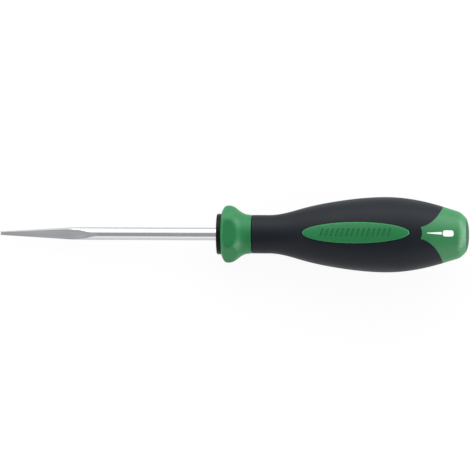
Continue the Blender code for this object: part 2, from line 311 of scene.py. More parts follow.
shader = add_node(
    chrome,
    "ShaderNodeBsdfPrincipled",
    values={"Base Color": linear("#c9cacc"), "Metallic": 1.0},
    links={"Roughness": dullness.outputs["Result"], "Normal": ring_height.outputs["Normal"]},
)
add_node(chrome, "ShaderNodeOutputMaterial", links={"Surface": shader.outputs["BSDF"]})

# Ground and plated steel: the same plate over the fine lengthwise lines of the grinding wheel, so it shines
# softly. The wheel's grit leaves lines of about 0.1 mm; they are drawn 0.5 mm wide, so that they show.
GRINDING_LINE = 0.0005
GRINDING_LINE_LENGTH = 0.022

ground_steel = empty_material("ground_steel_flats")
place = add_node(ground_steel, "ShaderNodeTexCoord")
along_tool = add_node(
    ground_steel,
    "ShaderNodeMapping",
    settings={"vector_type": "TEXTURE"},
    values={"Location": COLLAR_AT, "Rotation": (0, -TOOL_DIP, 0)},
    links={"Vector": place.outputs["Object"]},
)
grit_spacing = add_node(
    ground_steel,
    "ShaderNodeMapping",
    values={"Scale": (1 / GRINDING_LINE_LENGTH, 1 / GRINDING_LINE, 1 / GRINDING_LINE)},
    links={"Vector": along_tool.outputs["Vector"]},
)
grinding_lines = add_node(
    ground_steel,
    "ShaderNodeTexNoise",
    values={"Scale": 1.0, "Detail": 1.0},
    links={"Vector": grit_spacing.outputs["Vector"]},
)
satin = add_node(
    ground_steel,
    "ShaderNodeMapRange",
    values={"From Min": 0.3, "From Max": 0.7, "To Min": 0.28, "To Max": 0.42},
    links={"Value": grinding_lines.outputs["Fac"]},
)
line_height = add_node(
    ground_steel,
    "ShaderNodeBump",
    values={"Strength": 0.08, "Distance": 0.00005},
    links={"Height": grinding_lines.outputs["Fac"]},
)
shader = add_node(
    ground_steel,
    "ShaderNodeBsdfPrincipled",
    values={"Base Color": linear("#c5c6c9"), "Metallic": 1.0},
    links={"Roughness": satin.outputs["Result"], "Normal": line_height.outputs["Normal"]},
)
add_node(ground_steel, "ShaderNodeOutputMaterial", links={"Surface": shader.outputs["BSDF"]})

blade.data.materials.append(chrome)
blade.data.materials.append(ground_steel)
begin_edit("DESELECT")
bpy.ops.mesh.select_mode(type="FACE")
mesh = bmesh.from_edit_mesh(blade.data)
for face in mesh.faces:
    face.select_set(is_ground(face))
bmesh.update_edit_mesh(blade.data)
blade.active_material_index = 1
bpy.ops.object.material_slot_assign()
bpy.ops.mesh.region_to_loop()
bpy.ops.mesh.mark_sharp()
bpy.ops.mesh.select_mode(type="VERT")
bpy.ops.object.mode_set(mode="OBJECT")
bpy.ops.object.shade_smooth_by_angle(angle=POINT_CREASE, keep_sharp_edges=True)
lay_down(blade)
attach(blade, "root")
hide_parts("blade")


# Core. The hard black body of the handle, moulded round the tang. It carries every other piece of the handle,
# and only its front collar shows, a plain black disc with a softened edge where the blade comes out.
COLLAR_RADIUS = 0.00865
COLLAR_LENGTH = 0.0017
COLLAR_EDGE = 0.0004
NECK_RADIUS = 0.0060
TANG_HOLE_RADIUS = 0.00285
TANG_HOLE_MOUTH = 0.0031
TANG_HOLE_BEVEL = 0.0002
TANG_HOLE_DEPTH = 0.0625
CORE_END = 0.1020
HANDLE_LENGTH = 0.1074
HANDLE_CREASE = math.radians(35)
# Thickness of the pieces moulded over the core.
SKIN = 0.0022
# The handle's outside behind the guard: station, radius, slope.
GUARD_END = 0.0149
SWELL_FROM = 0.0221
LOBE_LINE = 0.0964
GRIP_FRONT_RADIUS = 0.0082
GRIP_OUTLINE = (
    (GUARD_END, GRIP_FRONT_RADIUS, 0.0),
    (SWELL_FROM, GRIP_FRONT_RADIUS, 0.0),
    (0.0346, 0.01055, 0.30),
    (0.0526, 0.01440, 0.15),
    (0.0721, 0.01605, 0.0),
    (LOBE_LINE, 0.01200, -0.31),
    (HANDLE_LENGTH, 0.00859, -0.31),
)
# Points of a turned or drawn shape that are closer than this are one, and narrower faces are cleared.
POINTS_MEET = 0.000002
LATHE_SLIVER = 0.0000005


def steps(start, stop, count):
    """Evenly spaced values from start to stop, both included."""
    return [start + (stop - start) * i / (count - 1) for i in range(count)]


def turn_on_lathe(name, section, segments):
    """Draws half a section of stations and radii, spins it round the tool's axis and closes it."""
    bpy.ops.object.select_all(action="DESELECT")
    bpy.ops.mesh.primitive_plane_add()
    piece = bpy.context.object
    piece.name = name
    begin_edit("SELECT")
    bpy.ops.mesh.merge(type="CENTER")
    at = Vector((0, 0))
    for i, (station, radius) in enumerate(section):
        move = (station - at.x, 0, radius - at.y)
        if i == 0:
            bpy.ops.transform.translate(value=move)
        else:
            bpy.ops.mesh.extrude_region_move(TRANSFORM_OT_translate={"value": move})
        at = Vector((station, radius))
    bpy.ops.mesh.select_all(action="SELECT")
    bpy.ops.mesh.spin(steps=segments, angle=2 * math.pi, center=(0, 0, 0), axis=(1, 0, 0))
    bpy.ops.mesh.select_all(action="SELECT")
    bpy.ops.mesh.remove_doubles(threshold=POINTS_MEET)
    bpy.ops.mesh.dissolve_degenerate(threshold=LATHE_SLIVER)
    face_outwards()
    bpy.ops.object.mode_set(mode="OBJECT")
    return piece


core_section = [(CORE_END, 0.0), (CORE_END, outline(GRIP_OUTLINE, CORE_END) - SKIN)]
for station in reversed(steps(SWELL_FROM, LOBE_LINE, 24)):
    core_section.append((station, outline(GRIP_OUTLINE, station) - SKIN))
core_section += [(COLLAR_LENGTH, NECK_RADIUS), (COLLAR_LENGTH, COLLAR_RADIUS)]
for bend in steps(0, math.pi / 2, 7):
    station = COLLAR_EDGE - COLLAR_EDGE * math.sin(bend)
    core_section.append((station, COLLAR_RADIUS - COLLAR_EDGE + COLLAR_EDGE * math.cos(bend)))
core_section += [
    (0.0, TANG_HOLE_MOUTH),
    (TANG_HOLE_BEVEL, TANG_HOLE_RADIUS),
    (TANG_HOLE_DEPTH, TANG_HOLE_RADIUS),
    (TANG_HOLE_DEPTH, 0.0),
]
core = turn_on_lathe("black_core", core_section, segments=160)
bpy.ops.object.shade_smooth_by_angle(angle=HANDLE_CREASE)

# Hard polyamide from a smooth mould: deep black with a satin shine, and shrink marks of about 1.4 mm that
# hardly show.
SHRINK_MARK = 0.0014

black_plastic = empty_material("satin_black_polyamide")
place = add_node(black_plastic, "ShaderNodeTexCoord")
shrink_marks = add_node(
    black_plastic,
    "ShaderNodeTexNoise",
    values={"Scale": 1 / SHRINK_MARK, "Detail": 3.0},
    links={"Vector": place.outputs["Object"]},
)
gloss = add_node(
    black_plastic,
    "ShaderNodeMapRange",
    values={"From Min": 0.3, "From Max": 0.7, "To Min": 0.36, "To Max": 0.46},
    links={"Value": shrink_marks.outputs["Fac"]},
)
mark_height = add_node(
    black_plastic,
    "ShaderNodeBump",
    values={"Strength": 0.06, "Distance": 0.0001},
    links={"Height": shrink_marks.outputs["Fac"]},
)
shader = add_node(
    black_plastic,
    "ShaderNodeBsdfPrincipled",
    values={"Base Color": linear("#030404"), "IOR": 1.5, "Specular IOR Level": 0.14},
    links={"Roughness": gloss.outputs["Result"], "Normal": mark_height.outputs["Normal"]},
)
add_node(black_plastic, "ShaderNodeOutputMaterial", links={"Surface": shader.outputs["BSDF"]})
core.data.materials.append(black_plastic)
lay_down(core)
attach(core, "root")
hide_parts("handle_core")


# Guard. A flared ring of hard green plastic moulded behind the collar, which stops the hand sliding forward.
# Six flats on its widest part keep the tool from rolling off the bench; all its edges are softly rounded by
# the mould.
GUARD_FRONT = 0.00178
GUARD_FRONT_BEND = 0.0032
GUARD_CREST = 0.0046
GUARD_RADIUS = 0.0129
GUARD_FLAT = 0.01075
GUARD_BORE = 0.0063
# The flare behind the crest: station, radius, slope.
GUARD_OUTLINE = (
    (GUARD_CREST, GUARD_RADIUS, -0.15),
    (0.0095, 0.0101, -0.83),
    (0.0142, 0.0083, 0.0),
    (GUARD_END, GRIP_FRONT_RADIUS, 0.0),
)
# The stretch whose edges are softened most, how it fades out on both sides, and the rounds of smoothing.
SOFT_FROM = 0.0032
SOFT_TO = 0.0088
SOFT_FADE = 0.0030
SOFTEN_ALL = 10
SOFTEN_CREST = 130
REMESH_VOXEL = 0.0002


def rounded_bend(start, corner, stop, count):
    """Points of a smooth bend from start to stop, which leaves towards the corner and arrives from it."""
    points = []
    for t in steps(0, 1, count):
        a, b, c = (1 - t) ** 2, 2 * t * (1 - t), t * t
        points.append(tuple(a * p + b * q + c * r for p, q, r in zip(start, corner, stop)))
    return points


guard_section = rounded_bend(
    (GUARD_FRONT, COLLAR_RADIUS), (GUARD_FRONT_BEND, GUARD_RADIUS), (GUARD_CREST, GUARD_RADIUS), 9
)
for station in steps(GUARD_CREST, GUARD_END, 30)[1:]:
    guard_section.append((station, outline(GUARD_OUTLINE, station)))
guard_section += [(GUARD_END, GUARD_BORE), (GUARD_FRONT, GUARD_BORE), guard_section[0]]
guard = turn_on_lathe("green_guard", guard_section, segments=192)
bpy.ops.object.mode_set(mode="EDIT")
for side in range(6):
    turn = side * math.pi / 3
    outward = Vector((0, math.sin(turn), math.cos(turn)))
    bpy.ops.mesh.select_all(action="SELECT")
    bpy.ops.mesh.bisect(
        plane_co=outward * GUARD_FLAT,
        plane_no=outward,
        use_fill=True,
        clear_outer=True,
        threshold=CUT_TOLERANCE,
    )
bpy.ops.object.mode_set(mode="OBJECT")
apply_modifier(guard, "REMESH", {"mode": "VOXEL", "voxel_size": REMESH_VOXEL})
crest = guard.vertex_groups.new(name="crest")
for vertex in guard.data.vertices:
    away = max(SOFT_FROM - vertex.co.x, vertex.co.x - SOFT_TO, 0)
    crest.add([vertex.index], max(0, 1 - away / SOFT_FADE), "REPLACE")
apply_modifier(guard, "SMOOTH", {"factor": 0.5, "iterations": SOFTEN_ALL})
apply_modifier(guard, "SMOOTH", {"factor": 0.5, "iterations": SOFTEN_CREST, "vertex_group": "crest"})
bpy.ops.object.shade_smooth()

# Hard green plastic: evenly coloured through, with a slight mottle from the flow of the melt and the fine
# grain that a spark-eroded mould leaves, which gives a soft satin shine. The real grain is about 0.1 mm; it
# is drawn at 0.4 mm, so that it shows.
COLOUR_FLOW = 0.0045
MOULD_GRAIN = 0.0004
PLAIN_GREEN = ("#166638", "#1b6f3e")


def moulded_green(name, shades, roughness, reflection, grain):
    """The green plastic of the hard pieces: two close shades, and a shine set by the mould's smoothness."""
    material = empty_material(name)
    place = add_node(material, "ShaderNodeTexCoord")
    colour_flow = add_node(
        material,
        "ShaderNodeTexNoise",
        values={"Scale": 1 / COLOUR_FLOW, "Detail": 3.0},
        links={"Vector": place.outputs["Object"]},
    )
    green = add_node(
        material,
        "ShaderNodeMix",
        settings={"data_type": "RGBA"},
        values={6: linear(shades[0]), 7: linear(shades[1])},
        links={"Factor": colour_flow.outputs["Fac"]},
    )
    mould_grain = add_node(
        material,
        "ShaderNodeTexNoise",
        values={"Scale": 1 / MOULD_GRAIN, "Detail": 2.0},
        links={"Vector": place.outputs["Object"]},
    )
    satin = add_node(
        material,
        "ShaderNodeMapRange",
        values={"From Min": 0.3, "From Max": 0.7, "To Min": roughness[0], "To Max": roughness[1]},
        links={"Value": mould_grain.outputs["Fac"]},
    )
    grain_height = add_node(
        material,
        "ShaderNodeBump",
        values={"Strength": grain, "Distance": 0.00006},
        links={"Height": mould_grain.outputs["Fac"]},
    )
    shader = add_node(
        material,
        "ShaderNodeBsdfPrincipled",
        values={"IOR": 1.5, "Specular IOR Level": reflection},
        links={
            "Base Color": green.outputs[2],
            "Roughness": satin.outputs["Result"],
            "Normal": grain_height.outputs["Normal"],
        },
    )
    add_node(material, "ShaderNodeOutputMaterial", links={"Surface": shader.outputs["BSDF"]})
    return material


# On the guard the mould is grained, so it shines only a little.
guard.data.materials.append(moulded_green("grained_green_plastic", PLAIN_GREEN, (0.36, 0.46), 0.28, 0.10))
lay_down(guard)
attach(guard, "root")
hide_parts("guard")


# Grip. A sleeve of soft black rubber-like plastic moulded over the core, with an oval window above and below
# for the inlays. Its rear edge is cut into two long lobes by the green cap behind it.
# The sleeve is turned over this stretch, and its rear edge is cut afterwards.
GRIP_FROM = 0.0160
GRIP_TO = 0.0970
GRIP_EDGE = 0.0002
# The hair line where two moulded pieces meet, and the slightly wider one round the inlays.
BOND_LINE = 0.0001
WINDOW_LINE = 0.00016
LOBE_DEPTH = 0.0121
LOBE_SPAN = math.radians(81)
LOBE_SQUARENESS = 2.4
TONGUE_FRONT = 0.0879
TONGUE_DISH = 0.0005
INLAY_AT = 0.0597
INLAY_HALF_LENGTH = 0.0229
INLAY_HALF_WIDTH = 0.0046
# The solids that cut the grip and trim the cap reach well past the handle.
CUT_RADIUS = 0.024
CUT_INNER_SHARE = 0.16
CUT_LENGTH = 0.04
CUT_HEIGHT = 0.08


def seam(angle):
    """Station of the grip's rear edge at an angle from the top: a long lobe at each side, dished between."""
    away = abs((angle + math.pi / 2) % math.pi - math.pi / 2)
    share = min(1, (math.pi / 2 - away) / LOBE_SPAN)
    bulge = (1 - share**LOBE_SQUARENESS) ** (1 / LOBE_SQUARENESS)
    lobe = LOBE_LINE - LOBE_DEPTH * (1 - bulge)
    tongue = TONGUE_FRONT - TONGUE_DISH * (away / (math.pi / 2 - LOBE_SPAN)) ** 2
    return max(lobe, tongue)


def cap_space():
    """A solid that fills everything behind the seam, for cutting the grip and for trimming the cap."""
    bpy.ops.object.select_all(action="DESELECT")
    bpy.ops.mesh.primitive_circle_add(
        vertices=720, radius=CUT_RADIUS, fill_type="NOTHING", rotation=(0, math.pi / 2, 0)
    )
    space = bpy.context.object
    bpy.ops.object.transform_apply(location=True, rotation=True, scale=True)
    begin_edit("SELECT")
    for narrower in (CUT_INNER_SHARE, 0):
        bpy.ops.mesh.extrude_region_move(TRANSFORM_OT_translate={"value": (0, 0, 0)})
        bpy.ops.transform.resize(value=(1, narrower, narrower), center_override=(0, 0, 0))
    bpy.ops.mesh.select_all(action="SELECT")
    bpy.ops.mesh.remove_doubles(threshold=POINTS_MEET)
    mesh = bmesh.from_edit_mesh(space.data)
    for vertex in mesh.verts:
        vertex.co.x = seam(math.atan2(vertex.co.y, vertex.co.z))
    bmesh.update_edit_mesh(space.data)
    bpy.ops.mesh.select_all(action="SELECT")
    bpy.ops.mesh.extrude_region_move(TRANSFORM_OT_translate={"value": (CUT_LENGTH, 0, 0)})
    face_outwards()
    bpy.ops.object.mode_set(mode="OBJECT")
    return space


def oval_prism(half_length, half_width):
    """An upright oval solid right through the handle, at the inlays' place."""
    bpy.ops.object.select_all(action="DESELECT")
    bpy.ops.mesh.primitive_cylinder_add(vertices=192, radius=1, depth=CUT_HEIGHT, location=(INLAY_AT, 0, 0))
    prism = bpy.context.object
    prism.scale = (half_length, half_width, 1)
    bpy.ops.object.transform_apply(location=True, rotation=True, scale=True)
    return prism


grip_section = [
    (GUARD_END + BOND_LINE, GRIP_FRONT_RADIUS - GRIP_EDGE),
    (GUARD_END + BOND_LINE + GRIP_EDGE, GRIP_FRONT_RADIUS),
]
for station in steps(GRIP_FROM, GRIP_TO, 110):
    grip_section.append((station, outline(GRIP_OUTLINE, station)))
for station in reversed(steps(SWELL_FROM, GRIP_TO, 24)):
    grip_section.append((station, outline(GRIP_OUTLINE, station) - SKIN + BOND_LINE))
grip_section += [(GUARD_END + BOND_LINE, NECK_RADIUS + BOND_LINE), grip_section[0]]
grip = turn_on_lathe("soft_black_grip", grip_section, segments=240)
boolean(grip, cap_space(), "DIFFERENCE")
windows = oval_prism(INLAY_HALF_LENGTH + WINDOW_LINE, INLAY_HALF_WIDTH + WINDOW_LINE)
boolean(grip, windows, "DIFFERENCE")
bpy.ops.object.shade_smooth_by_angle(angle=HANDLE_CREASE)

# Thermoplastic rubber: matt and slightly soft to the eye, dark grey where it turns away, with a fine moulded
# grain. The grain is 0.1 mm on the real tool and drawn at 0.4 mm here, so that it shows.
RUBBER_GRAIN = 0.0004
RUBBED_PATCH = 0.0075

soft_rubber = empty_material("matt_black_soft_rubber")
place = add_node(soft_rubber, "ShaderNodeTexCoord")
moulded_grain = add_node(
    soft_rubber,
    "ShaderNodeTexNoise",
    values={"Scale": 1 / RUBBER_GRAIN, "Detail": 3.0},
    links={"Vector": place.outputs["Object"]},
)
rubbed_patches = add_node(
    soft_rubber,
    "ShaderNodeTexNoise",
    values={"Scale": 1 / RUBBED_PATCH, "Detail": 4.0},
    links={"Vector": place.outputs["Object"]},
)
black = add_node(
    soft_rubber,
    "ShaderNodeMix",
    settings={"data_type": "RGBA"},
    values={6: linear("#0a0f16"), 7: linear("#0d131b")},
    links={"Factor": rubbed_patches.outputs["Fac"]},
)
matt = add_node(
    soft_rubber,
    "ShaderNodeMapRange",
    values={"From Min": 0.3, "From Max": 0.7, "To Min": 0.44, "To Max": 0.54},
    links={"Value": rubbed_patches.outputs["Fac"]},
)
grain_height = add_node(
    soft_rubber,
    "ShaderNodeBump",
    values={"Strength": 0.22, "Distance": 0.00008},
    links={"Height": moulded_grain.outputs["Fac"]},
)
shader = add_node(
    soft_rubber,
    "ShaderNodeBsdfPrincipled",
    values={"IOR": 1.48, "Specular IOR Level": 0.19},
    links={
        "Base Color": black.outputs[2],
        "Roughness": matt.outputs["Result"],
        "Normal": grain_height.outputs["Normal"],
    },
)
add_node(soft_rubber, "ShaderNodeOutputMaterial", links={"Surface": shader.outputs["BSDF"]})
grip.data.materials.append(soft_rubber)
lay_down(grip)
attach(grip, "root")
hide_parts("soft_grip")


# Inlays. Two oval badges of the same green plastic, one above and one below, set in the grip's windows on the
# core. Each stands a little proud of the rubber with a rounded rim, and has a row of shallow slanted grooves
# along its middle.
INLAY_RAISE = 0.0004
INLAY_EDGE = 0.0006
INLAY_THICKNESS = 0.0021
# The steps by which the badge's mesh closes in from its rim to its middle line.
BADGE_RINGS = (0.0006, 0.0006, 0.0006, 0.0006, 0.0007, 0.0007, 0.0008)
GROOVE_COUNT = 14
GROOVE_PITCH = 0.0022
GROOVE_WIDTH = 0.0010
GROOVE_LENGTH = 0.0034
GROOVE_CORNER = 0.0004
GROOVE_SLANT = 0.3
GROOVE_DEPTH = 0.00022
# How far the solid that cuts the grooves stands out of them.
GROOVE_OVERLAP = 0.0004
RIM_CREASE = math.radians(40)
FINE_CREASE = math.radians(32)
# Flat pieces are drawn at this height and dropped on the blank, which has the handle's plain outside.
DROP_HEIGHT = 0.03
BLANK_END = 0.1030

blank_section = [(station, outline(GRIP_OUTLINE, station)) for station in steps(GRIP_FROM, BLANK_END, 160)]
blank = turn_on_lathe("wrapping_blank", blank_section, segments=360)


def wrap_on_handle(piece, height):
    """Drops a flat piece straight down on to the handle's outside and holds it a given height above it."""
    apply_modifier(
        piece,
        "SHRINKWRAP",
        {
            "target": blank,
            "wrap_method": "PROJECT",
            "use_project_z": True,
            "use_negative_direction": True,
            "use_positive_direction": False,
            "offset": height,
        },
    )


def thicken_downwards(piece, depth, edge=0):
    """Gives a wrapped sheet its depth straight down, and rounds its upper rim where an edge is given."""
    begin_edit("SELECT")
    mesh = bmesh.from_edit_mesh(piece.data)
    rim = mesh.verts.layers.int.new("rim")
    for vertex in mesh.verts:
        vertex[rim] = 1 if vertex.is_boundary else 0
    bmesh.update_edit_mesh(piece.data)
    bpy.ops.mesh.extrude_region_move(TRANSFORM_OT_translate={"value": (0, 0, -depth)})
    mesh = bmesh.from_edit_mesh(piece.data)
    rim = mesh.verts.layers.int["rim"]
    for vertex in mesh.verts:
        if vertex.select:
            vertex[rim] = 0
    face_outwards()
    bpy.ops.mesh.select_mode(type="EDGE")
    bpy.ops.mesh.select_all(action="DESELECT")
    mesh = bmesh.from_edit_mesh(piece.data)
    rim = mesh.verts.layers.int["rim"]
    for edge_line in mesh.edges:
        both = all(vertex[rim] for vertex in edge_line.verts)
        edge_line.select = both and edge_line.calc_face_angle(0) > RIM_CREASE
    bmesh.update_edit_mesh(piece.data)
    if edge > 0:
        bpy.ops.mesh.bevel(offset=edge, segments=5, profile=0.5, affect="EDGES")
    bpy.ops.mesh.select_mode(type="VERT")
    bpy.ops.object.mode_set(mode="OBJECT")


def oval_badge(name):
    """An oval disc with its rim rounded, wrapped on the handle's outside at the inlays' place."""
    bpy.ops.object.select_all(action="DESELECT")
    middle = (INLAY_AT, 0, DROP_HEIGHT)
    bpy.ops.mesh.primitive_circle_add(vertices=192, radius=1, fill_type="NOTHING", location=middle)
    badge = bpy.context.object
    badge.name = name
    badge.scale = (INLAY_HALF_LENGTH, INLAY_HALF_WIDTH, 1)
    bpy.ops.object.transform_apply(location=True, rotation=True, scale=True)
    begin_edit("SELECT")
    length, width = INLAY_HALF_LENGTH, INLAY_HALF_WIDTH
    for inwards in BADGE_RINGS:
        bpy.ops.mesh.extrude_region_move(TRANSFORM_OT_translate={"value": (0, 0, 0)})
        bpy.ops.transform.resize(
            value=((length - inwards) / length, max(0, (width - inwards) / width), 1),
            center_override=middle,
        )
        length, width = length - inwards, width - inwards
    bpy.ops.mesh.select_all(action="SELECT")
    bpy.ops.mesh.remove_doubles(threshold=POINTS_MEET)
    bpy.ops.object.mode_set(mode="OBJECT")
    wrap_on_handle(badge, INLAY_RAISE)
    thicken_downwards(badge, INLAY_THICKNESS, edge=INLAY_EDGE)
    return badge


inlay_top = oval_badge("green_inlay_top")
first_groove = INLAY_AT - GROOVE_PITCH * (GROOVE_COUNT - 1) / 2
bpy.ops.object.select_all(action="DESELECT")
bpy.ops.mesh.primitive_plane_add(size=1, location=(first_groove, 0, DROP_HEIGHT))
grooves = bpy.context.object
grooves.scale = (GROOVE_WIDTH, GROOVE_LENGTH, 1)
bpy.ops.object.transform_apply(location=True, rotation=True, scale=True)
begin_edit("SELECT")
bpy.ops.mesh.bevel(offset=GROOVE_CORNER, segments=4, affect="VERTICES")
mesh = bmesh.from_edit_mesh(grooves.data)
for vertex in mesh.verts:
    vertex.co.x += vertex.co.y * GROOVE_SLANT
bmesh.update_edit_mesh(grooves.data)
bpy.ops.object.mode_set(mode="OBJECT")
apply_modifier(
    grooves,
    "ARRAY",
    {
        "count": GROOVE_COUNT,
        "use_relative_offset": False,
        "use_constant_offset": True,
        "constant_offset_displace": (GROOVE_PITCH, 0, 0),
    },
)
wrap_on_handle(grooves, INLAY_RAISE + GROOVE_OVERLAP)
thicken_downwards(grooves, GROOVE_DEPTH + GROOVE_OVERLAP)
boolean(inlay_top, grooves, "DIFFERENCE")
bpy.ops.object.shade_smooth_by_angle(angle=FINE_CREASE)

# The same plastic from a finer part of the mould, with a closer shine.
inlay_top.data.materials.append(moulded_green("fine_green_plastic", PLAIN_GREEN, (0.30, 0.40), 0.32, 0.10))
pick(inlay_top)
bpy.ops.object.duplicate(linked=False)
inlay_bottom = bpy.context.object
inlay_bottom.name = "green_inlay_bottom"
inlay_bottom.rotation_euler = (math.pi, 0, 0)
bpy.ops.object.transform_apply(location=True, rotation=True, scale=True)
for inlay, node in ((inlay_top, "inlay_top"), (inlay_bottom, "inlay_bottom")):
    lay_down(inlay)
    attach(inlay, "root")
    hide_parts(node)


# Cap. The green rear end of the handle, moulded on last. It covers the core's end, bends over to a crisp rim
# with a low dome inside, and reaches forward above and below in a broad tongue between the lobes of the grip.
CAP_FROM = 0.0840
# How far from the end the side bends over, the station it bends towards, the rim, and the dome's squareness.
END_ROUND = 0.0049
END_BEND = 0.1042
RIM_AT = 0.10625
RIM_RADIUS = 0.0071
END_DOME = 2.6
CAP_CREASE = math.radians(10)

cap_section = []
for station in steps(CAP_FROM, HANDLE_LENGTH - END_ROUND, 36):
    cap_section.append((station, outline(GRIP_OUTLINE, station)))
bend_corner = (END_BEND, outline(GRIP_OUTLINE, END_BEND))
cap_section += rounded_bend(cap_section[-1], bend_corner, (RIM_AT, RIM_RADIUS), 14)[1:]
for radius in reversed(steps(0.0, RIM_RADIUS, 16)[1:-1]):
    station = HANDLE_LENGTH - (HANDLE_LENGTH - RIM_AT) * (radius / RIM_RADIUS) ** END_DOME
    cap_section.append((station, radius))
cap_section += [(HANDLE_LENGTH, 0.0), (CORE_END + BOND_LINE, 0.0)]
for station in reversed(steps(CAP_FROM, CORE_END + BOND_LINE, 12)):
    cap_section.append((station, outline(GRIP_OUTLINE, station) - SKIN + BOND_LINE))
cap_section.append(cap_section[0])
cap = turn_on_lathe("green_end_cap", cap_section, segments=240)
boolean(cap, cap_space(), "INTERSECT")
bpy.ops.object.shade_smooth_by_angle(angle=CAP_CREASE)

# The same plastic, a little deeper in colour, where the mould was rubbed smooth and has hardly any grain, so
# it has the broadest and strongest highlights. The domed end face, where the plastic was let into the mould,
# is rougher; its darker, greyer colour is painted shade, standing in for the shade that falls on the end
# face.
CAP_GREEN = ("#126334", "#166b39")
END_PAINTED_SHADE_GREEN = ("#183e2c", "#1b4431")

cap.data.materials.append(moulded_green("polished_green_plastic", CAP_GREEN, (0.42, 0.52), 0.52, 0.04))
cap.data.materials.append(moulded_green("rough_green_with_painted_shade", END_PAINTED_SHADE_GREEN, (0.50, 0.60), 0.2, 0.10))
# Faces behind the rim, on the dome, take the second material, whose darker, greyer colour is painted shade.
for face in cap.data.polygons:
    face.material_index = 1 if face.center.x > RIM_AT else 0
lay_down(cap)
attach(cap, "root")
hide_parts("end_cap")


# Tool sign. White ink pad-printed on the cap: a plain little picture of a point with its handle, so that a
# hand finds the right tool in a rack by its rear end.
SIGN_FRONT = 0.0899
SIGN_LENGTH = 0.0112
SIGN_POINT = 0.0062
SIGN_POINT_WIDTH = 0.0011
SIGN_TIP_SHARE = 0.25
SIGN_GAP = 0.0005
SIGN_HANDLE_WIDTH = 0.0026
SIGN_HANDLE_CORNER = 0.0009
INK_THICKNESS = 0.00003
# The film reaches this far into the cap, so that no light shows under it.
INK_SUNK = 0.00005

point_middle = SIGN_FRONT + SIGN_POINT / 2
bpy.ops.object.select_all(action="DESELECT")
bpy.ops.mesh.primitive_plane_add(size=1, location=(point_middle, 0, DROP_HEIGHT))
tool_sign = bpy.context.object
tool_sign.name = "printed_tool_sign"
tool_sign.scale = (SIGN_POINT, SIGN_POINT_WIDTH, 1)
bpy.ops.object.transform_apply(location=True, rotation=True, scale=True)
begin_edit("DESELECT")
mesh = bmesh.from_edit_mesh(tool_sign.data)
for vertex in mesh.verts:
    vertex.co.y *= 1 if vertex.co.x > point_middle else SIGN_TIP_SHARE
bmesh.update_edit_mesh(tool_sign.data)
handle_length = SIGN_LENGTH - SIGN_POINT - SIGN_GAP
handle_middle = (SIGN_FRONT + SIGN_LENGTH - handle_length / 2, 0, DROP_HEIGHT)
bpy.ops.mesh.primitive_plane_add(size=SIGN_HANDLE_WIDTH, location=handle_middle)
bpy.ops.transform.resize(value=(handle_length / SIGN_HANDLE_WIDTH, 1, 1), center_override=handle_middle)
bpy.ops.mesh.bevel(offset=SIGN_HANDLE_CORNER, segments=6, affect="VERTICES")
bpy.ops.mesh.select_all(action="SELECT")
bpy.ops.mesh.quads_convert_to_tris()
bpy.ops.mesh.subdivide(number_cuts=5)
bpy.ops.object.mode_set(mode="OBJECT")
wrap_on_handle(tool_sign, INK_THICKNESS)
thicken_downwards(tool_sign, INK_THICKNESS + INK_SUNK)
bpy.ops.object.shade_smooth_by_angle(angle=FINE_CREASE)

# Two-part white printing ink: flat and opaque, with the fine pinholes and thin spots of a printed film. The
# real ones are under 0.1 mm; they are drawn at 0.3 mm, so that they show.
THIN_SPOT = 0.0003

white_ink = empty_material("white_pad_print_ink")
place = add_node(white_ink, "ShaderNodeTexCoord")
thin_spots = add_node(
    white_ink,
    "ShaderNodeTexNoise",
    values={"Scale": 1 / THIN_SPOT, "Detail": 2.0},
    links={"Vector": place.outputs["Object"]},
)
cover = add_node(
    white_ink,
    "ShaderNodeMapRange",
    values={"From Min": 0.28, "From Max": 0.42},
    links={"Value": thin_spots.outputs["Fac"]},
)
white = add_node(
    white_ink,
    "ShaderNodeMix",
    settings={"data_type": "RGBA"},
    values={6: linear("#bccfc3"), 7: linear("#d9ddd9")},
    links={"Factor": cover.outputs["Result"]},
)
film_height = add_node(
    white_ink,
    "ShaderNodeBump",
    values={"Strength": 0.1, "Distance": 0.00003},
    links={"Height": thin_spots.outputs["Fac"]},
)
shader = add_node(
    white_ink,
    "ShaderNodeBsdfPrincipled",
    values={"Roughness": 0.5, "IOR": 1.5},
    links={"Base Color": white.outputs[2], "Normal": film_height.outputs["Normal"]},
)
add_node(white_ink, "ShaderNodeOutputMaterial", links={"Surface": shader.outputs["BSDF"]})
tool_sign.data.materials.append(white_ink)
lay_down(tool_sign)
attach(tool_sign, "root")
bpy.data.objects.remove(blank, do_unlink=True)


# Bench. A wide sheet of white card, on which the tool lies as it was photographed.
# To the camera and in the chrome it is nearly plain white, and it still takes the tool's soft shadow.
BENCH_SIZE = 6.0
BENCH_BELOW = 0.00005
PAPER_FIBRE = 0.0011
# How much of the paper's look gives way to plain white, for the camera and in reflections.
WHITE_SHARE = 0.92

bpy.ops.object.select_all(action="DESELECT")
bpy.ops.mesh.primitive_plane_add(size=BENCH_SIZE, location=(0, 0, -BENCH_BELOW))
bench = bpy.context.object
bench.name = "white_card"
begin_edit("SELECT")
bpy.ops.mesh.subdivide(number_cuts=8)
bpy.ops.object.mode_set(mode="OBJECT")
white_card = empty_material("matt_white_card")
place = add_node(white_card, "ShaderNodeTexCoord")
paper_fibre = add_node(
    white_card,
    "ShaderNodeTexNoise",
    values={"Scale": 1 / PAPER_FIBRE, "Detail": 3.0},
    links={"Vector": place.outputs["Object"]},
)
card_white = add_node(
    white_card,
    "ShaderNodeMix",
    settings={"data_type": "RGBA"},
    values={6: linear("#f5f5f5"), 7: linear("#f8f8f8")},
    links={"Factor": paper_fibre.outputs["Fac"]},
)
paper = add_node(
    white_card, "ShaderNodeBsdfDiffuse", values={"Roughness": 0.5}, links={"Color": card_white.outputs[2]}
)
plain_white = add_node(white_card, "ShaderNodeEmission", values={"Color": (1, 1, 1, 1), "Strength": 1.0})
ray = add_node(white_card, "ShaderNodeLightPath")
